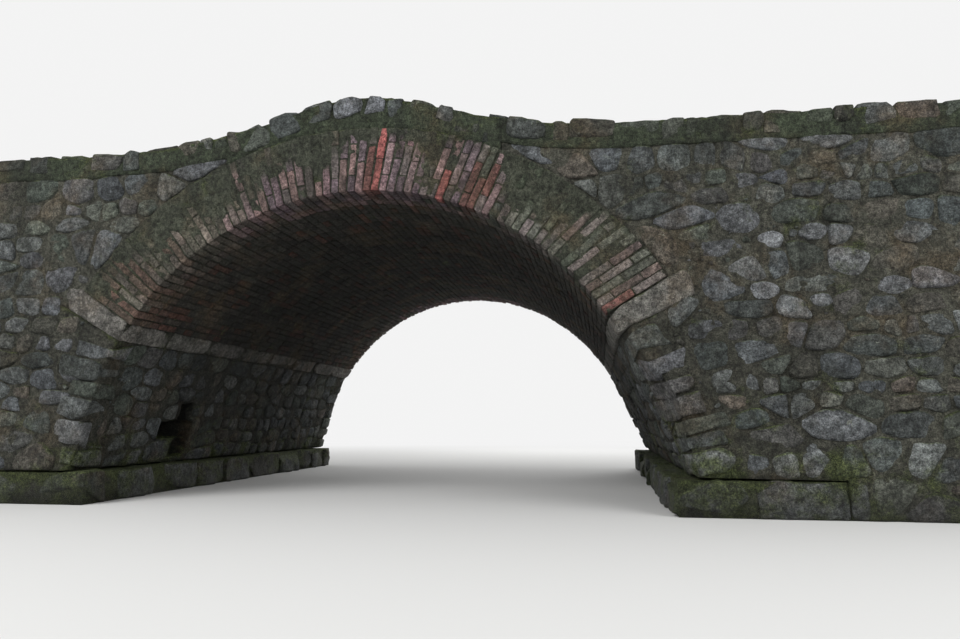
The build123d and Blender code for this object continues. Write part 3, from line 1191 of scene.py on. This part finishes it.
class Nodes:
    """A short way to write the node tree of a material or of the world."""

    def __init__(self, owner):
        owner.use_nodes = True
        self.owner, self.tree = owner, owner.node_tree
        self.shader = self.tree.nodes.get("Principled BSDF") or self.tree.nodes["Background"]

    def put(self, value, socket):
        """Link a result to a socket, or give the socket a number, a vector or an opaque colour."""
        if isinstance(value, bpy.types.NodeSocket):
            self.tree.links.new(value, socket)
        else:
            socket.default_value = (*value, 1) if socket.type == "RGBA" else value

    def node(self, kind, inputs, out=0, **settings):
        """Add a node and fill some of its inputs, by name or number: gives one of its results."""
        made = self.tree.nodes.new(f"ShaderNode{kind}")
        for name, value in settings.items():
            setattr(made, name, value)
        for name, value in inputs.items():
            self.put(value, made.inputs[name])
        return made.outputs[out]

    def place(self, stretch=(1, 1, 1)):
        """Points of the surface in metres, stretched for the noise."""
        return self.node("Mapping", {"Vector": self.node("NewGeometry", {}, "Position"), "Scale": stretch})

    def clouds(self, scale, detail=6.0, roughness=0.6, stretch=(1, 1, 1)):
        inputs = {"Vector": self.place(stretch), "Scale": scale, "Detail": detail, "Roughness": roughness}
        return self.node("TexNoise", inputs, "Fac")

    def ramp(self, value, low, high, to_low=0.0, to_high=1.0, kind="SMOOTHSTEP"):
        inputs = {"Value": value, "From Min": low, "From Max": high, "To Min": to_low, "To Max": to_high}
        return self.node("MapRange", inputs, "Result", interpolation_type=kind)

    def math(self, operation, one, two):
        return self.node("Math", {0: one, 1: two}, operation=operation)

    def mix(self, share, one, two, blend="MIX"):
        return self.node("Mix", {0: share, 6: one, 7: two}, 2, data_type="RGBA", blend_type=blend)

    def tint(self):
        return self.node("Attribute", {}, "Color", attribute_name="tint")

    def shaded(self, base, value, low, high, least, most):
        """A colour made from least to most times as bright while a value goes from low to high."""
        bright = self.ramp(value, low, high, least, most)
        return self.mix(1.0, base, self.node("CombineColor", {0: bright, 1: bright, 2: bright}), "MULTIPLY")

    def bumped(self, height, distance, strength, **under):
        inputs = {"Strength": strength, "Distance": distance, "Height": height, **under}
        return self.node("Bump", inputs, "Normal")

    def finish(self, base, roughness, normal):
        inputs = {"Base Color": base, "Roughness": roughness, "Normal": normal, "Specular IOR Level": 0.25}
        for name, value in inputs.items():
            self.put(value, self.shader.inputs[name])
        return self.owner


def weathered(name, mottle, grain, pits, moss, lichen):
    """Old masonry: its own tint, mottled and pitted, mossy on ledges and low down, with spots of lichen."""
    nodes = Nodes(bpy.data.materials.new(name))
    position = nodes.node("NewGeometry", {}, "Position")
    height = nodes.node("SeparateXYZ", {0: position}, "Z")
    facing = nodes.node("SeparateXYZ", {0: position.node.outputs["Normal"]}, "Z")
    fine = nodes.clouds(grain, 6.0, 0.7)
    relief = nodes.clouds(mottle * 2.2, 12.0, 0.75)
    pitting = nodes.ramp(nodes.clouds(grain * 1.4, 4.0, 0.6), 0.38, 0.56)
    warm = nodes.ramp(nodes.clouds(2.3, 5.0), 0.48, 0.7, 0, 0.35)
    spots = nodes.ramp(nodes.clouds(14.0, 9.0, 0.75), 0.6, 0.68)
    patches = nodes.ramp(nodes.clouds(1.7, 4.0), 0.45, 0.62, 0, lichen)
    stains = nodes.ramp(nodes.clouds(2.1, 12.0, 0.72), 0.48, 0.6, 0, 0.5)
    streaks = nodes.ramp(nodes.clouds(5.0, 8.0, 0.7, (1, 1, 0.16)), 0.52, 0.68, 0, 0.5)
    ledge = nodes.ramp(facing, 0.15, 0.85, 0, 0.17)
    near_foot = nodes.ramp(height, 0.9, 0.0, 0, 0.16)
    growth = nodes.math("ADD", nodes.math("ADD", nodes.clouds(3.1, 9.0, 0.7), ledge), near_foot)
    greens = nodes.mix(nodes.ramp(fine, 0.3, 0.7), colour(48, 58, 34), colour(88, 96, 56))
    base = nodes.shaded(nodes.tint(), nodes.clouds(mottle, 8.0, 0.65), 0.3, 0.7, 0.7, 1.6)
    for share, tone in (
        (warm, colour(104, 86, 62)),
        (nodes.math("MULTIPLY", spots, patches), colour(150, 154, 140)),
        (stains, colour(47, 49, 42)),
        (streaks, colour(40, 42, 38)),
        (nodes.ramp(growth, 0.62 - moss, 0.8 - moss, 0, 0.85), greens),
        (nodes.ramp(height, 0.42, 0.02, 0, 0.45), colour(30, 31, 27)),
    ):
        base = nodes.mix(share, base, tone)
    # Fine mottling; the relief and the pits share their noise with the bump, so they also paint shade into
    # its hollows and pits and light onto its rises
    for value, low, high, least, most in (
        (fine, 0.33, 0.67, 0.7, 1.4), (relief, 0.33, 0.67, 0.42, 1.7), (pitting, 0, 1, 0.62, 1.1),
    ):
        base = nodes.shaded(base, value, low, high, least, most)
    normal = nodes.bumped(pitting, 0.005 * pits, 1.0, Normal=nodes.bumped(relief, 0.04, 1.0))
    return nodes.finish(base, nodes.ramp(height, 0.35, 0.0, 0.9, 0.62), normal)


def earthy(name):
    """Earth with grit and small gravel in it, and thin moss."""
    nodes = Nodes(bpy.data.materials.new(name))
    grit = nodes.node("TexVoronoi", {"Vector": nodes.place(), "Scale": 60.0}, "Color", feature="F1")
    shade = nodes.node("SeparateColor", {0: grit})
    base = nodes.shaded(nodes.tint(), nodes.clouds(4.0, 9.0, 0.7), 0.25, 0.75, 0.55, 1.4)
    stones = nodes.shaded(colour(112, 107, 97), shade, 0.0, 1.0, 0.35, 1.0)
    base = nodes.mix(nodes.ramp(nodes.clouds(9.0, 4.0), 0.42, 0.6, 0, 0.55), base, stones)
    moss = nodes.ramp(nodes.clouds(2.2, 8.0, 0.7), 0.52, 0.66, 0, 0.7)
    base = nodes.mix(moss, base, colour(70, 78, 44))
    normal = nodes.bumped(nodes.clouds(26.0, 10.0, 0.75), 0.02, 0.9)
    normal = nodes.bumped(grit.node.outputs["Distance"], 0.012, 0.7, Normal=normal)
    return nodes.finish(base, 0.94, normal)


def dress_hidden(material):
    """The CAD nodes that stay, inside the walls, get the fill's material."""
    for side, name in product(SIDES, ("haunch_backing", "spandrel_fill")):
        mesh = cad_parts[f"{side}_{name}"].data
        mesh.materials.clear()
        mesh.materials.append(material)


# Stage, in front of a background this bright
BACKGROUND = 0.9
WHITE = (1, 1, 1)

# The lamps, all turned to one point: name, place, size and power
AIM = Vector((0, 0, 1.5))
LAMPS = (("key", (-7, -13, 9), 7, 1500), ("fill", (9, -9, 5), 6, 450), ("back", (2, 12, 8), 7, 700))


def pale_floor():
    """A pale floor that turns into the background further out."""
    nodes = Nodes(bpy.data.materials.new("pale_floor"))
    nodes.put((0.72, 0.72, 0.71), nodes.shader.inputs["Base Color"])
    nodes.put(0.9, nodes.shader.inputs["Roughness"])
    far = nodes.node("VectorMath", {0: nodes.place()}, "Value", operation="LENGTH")
    seen = nodes.math("MULTIPLY", nodes.ramp(far, 6.5, 15), nodes.node("LightPath", {}, "Is Camera Ray"))
    glow = nodes.node("Emission", {"Color": WHITE, "Strength": BACKGROUND})
    blend = nodes.node("MixShader", {0: seen, 1: nodes.shader.outputs[0], 2: glow})
    nodes.put(blend, nodes.tree.nodes["Material Output"].inputs["Surface"])
    return nodes.owner


def studio():
    """A world that lights softly from all round and is seen a little brighter."""
    nodes = Nodes(bpy.data.worlds.new("studio"))
    direct = nodes.node("LightPath", {}, "Is Camera Ray")
    seen = nodes.math("MAXIMUM", direct, direct.node.outputs["Is Glossy Ray"])
    nodes.put(nodes.ramp(seen, 0, 1, 0.55, BACKGROUND, "LINEAR"), nodes.shader.inputs["Strength"])
    nodes.put(WHITE, nodes.shader.inputs["Color"])
    return nodes.owner


def stage():
    """A floor, soft light from all round and a broad soft lamp before the front face."""
    bpy.ops.mesh.primitive_plane_add(size=400, location=(0, 0, -0.002))
    floor = bpy.context.object
    floor.name = "floor"
    floor.data.materials.append(pale_floor())
    bpy.context.scene.world = studio()
    for name, place, size, power in LAMPS:
        lamp = bpy.data.lights.new(name, "AREA")
        lamp.size, lamp.energy = size, power
        made = new_object(name, lamp)
        made.location = place
        made.rotation_euler = (AIM - Vector(place)).to_track_quat("-Z", "Y").to_euler()


def camera():
    """The photograph's viewpoint: low in the stream bed, right of the middle, looking up and to the left."""
    lens = bpy.data.cameras.new("camera")
    lens.sensor_width, lens.lens, lens.clip_end = 36.0, 27.45, 500
    made = new_object("camera", lens)
    made.location = (2.117, -FACE_Y - 6.128, CENTRE_Z + 0.564)
    made.rotation_euler = (radians(90 + 7.849), 0, radians(9.278))
    bpy.context.scene.camera = made


# Slot names that build passes on with the pieces that aren't rubble stone, by a word in their names
SLOTS = {"arch": "brick", "coping": "coping_stone", "fill": "rubble_fill"}


def build():
    names = ["front_arch_ring", "arch_barrel", "rear_arch_ring", "front_crown_coping", "rear_crown_coping"]
    for side in SIDES:
        names += [f"{side}_{part}" for part in ("skewback", "abutment", "footing", "approach_fill")]
        parts = product(FACES, ("spandrel_wall", "wing_wall", "coping"))
        names += [f"{side}_{face}_{part}" for face, part in parts]
    piles = {name: Pile() for name in names}
    lay_mortar(piles)
    lay_face(piles, "front", np.random.default_rng(21), 26)
    lay_face(piles, "rear", np.random.default_rng(22), 20)
    lay_corners(piles, np.random.default_rng(23))
    for number, side in enumerate(SIDES):
        lay_jamb(piles, side, np.random.default_rng(24 + number))
        lay_end(piles, side, np.random.default_rng(26 + number))
    for number, lay in enumerate((lay_rings, lay_barrel, lay_skewbacks, lay_footings, lay_coping)):
        lay(piles, np.random.default_rng(31 + number))
    stone = weathered("rubble_stone", 11.0, 70.0, 1.0, 0.045, 0.6)
    brick = weathered("old_brick", 16.0, 120.0, 0.8, 0.0, 0.3)
    mortar = weathered("lime_mortar", 13.0, 90.0, 1.6, 0.06, 0.1)
    earth = earthy("earth")
    for name, pile in piles.items():
        slot = next((SLOTS[word] for word in SLOTS if word in name), "rubble_stone")
        laid = [brick if "arch" in name else stone, earth if "fill" in name else mortar]
        pile.piece(f"{name}_masonry", laid, slot, name)
    gravel = weathered("road_gravel", 20.0, 130.0, 0.6, -0.12, 0.1)
    road = Pile()
    lay_road(road)
    lay_gravel(road, np.random.default_rng(36))
    road.piece("road", [earth, gravel], "road_gravel", "left_road", "crown_road", "right_road")
    dress_hidden(earth)


build()
stage()
camera()
bpy.context.scene.view_settings.view_transform = "Standard"
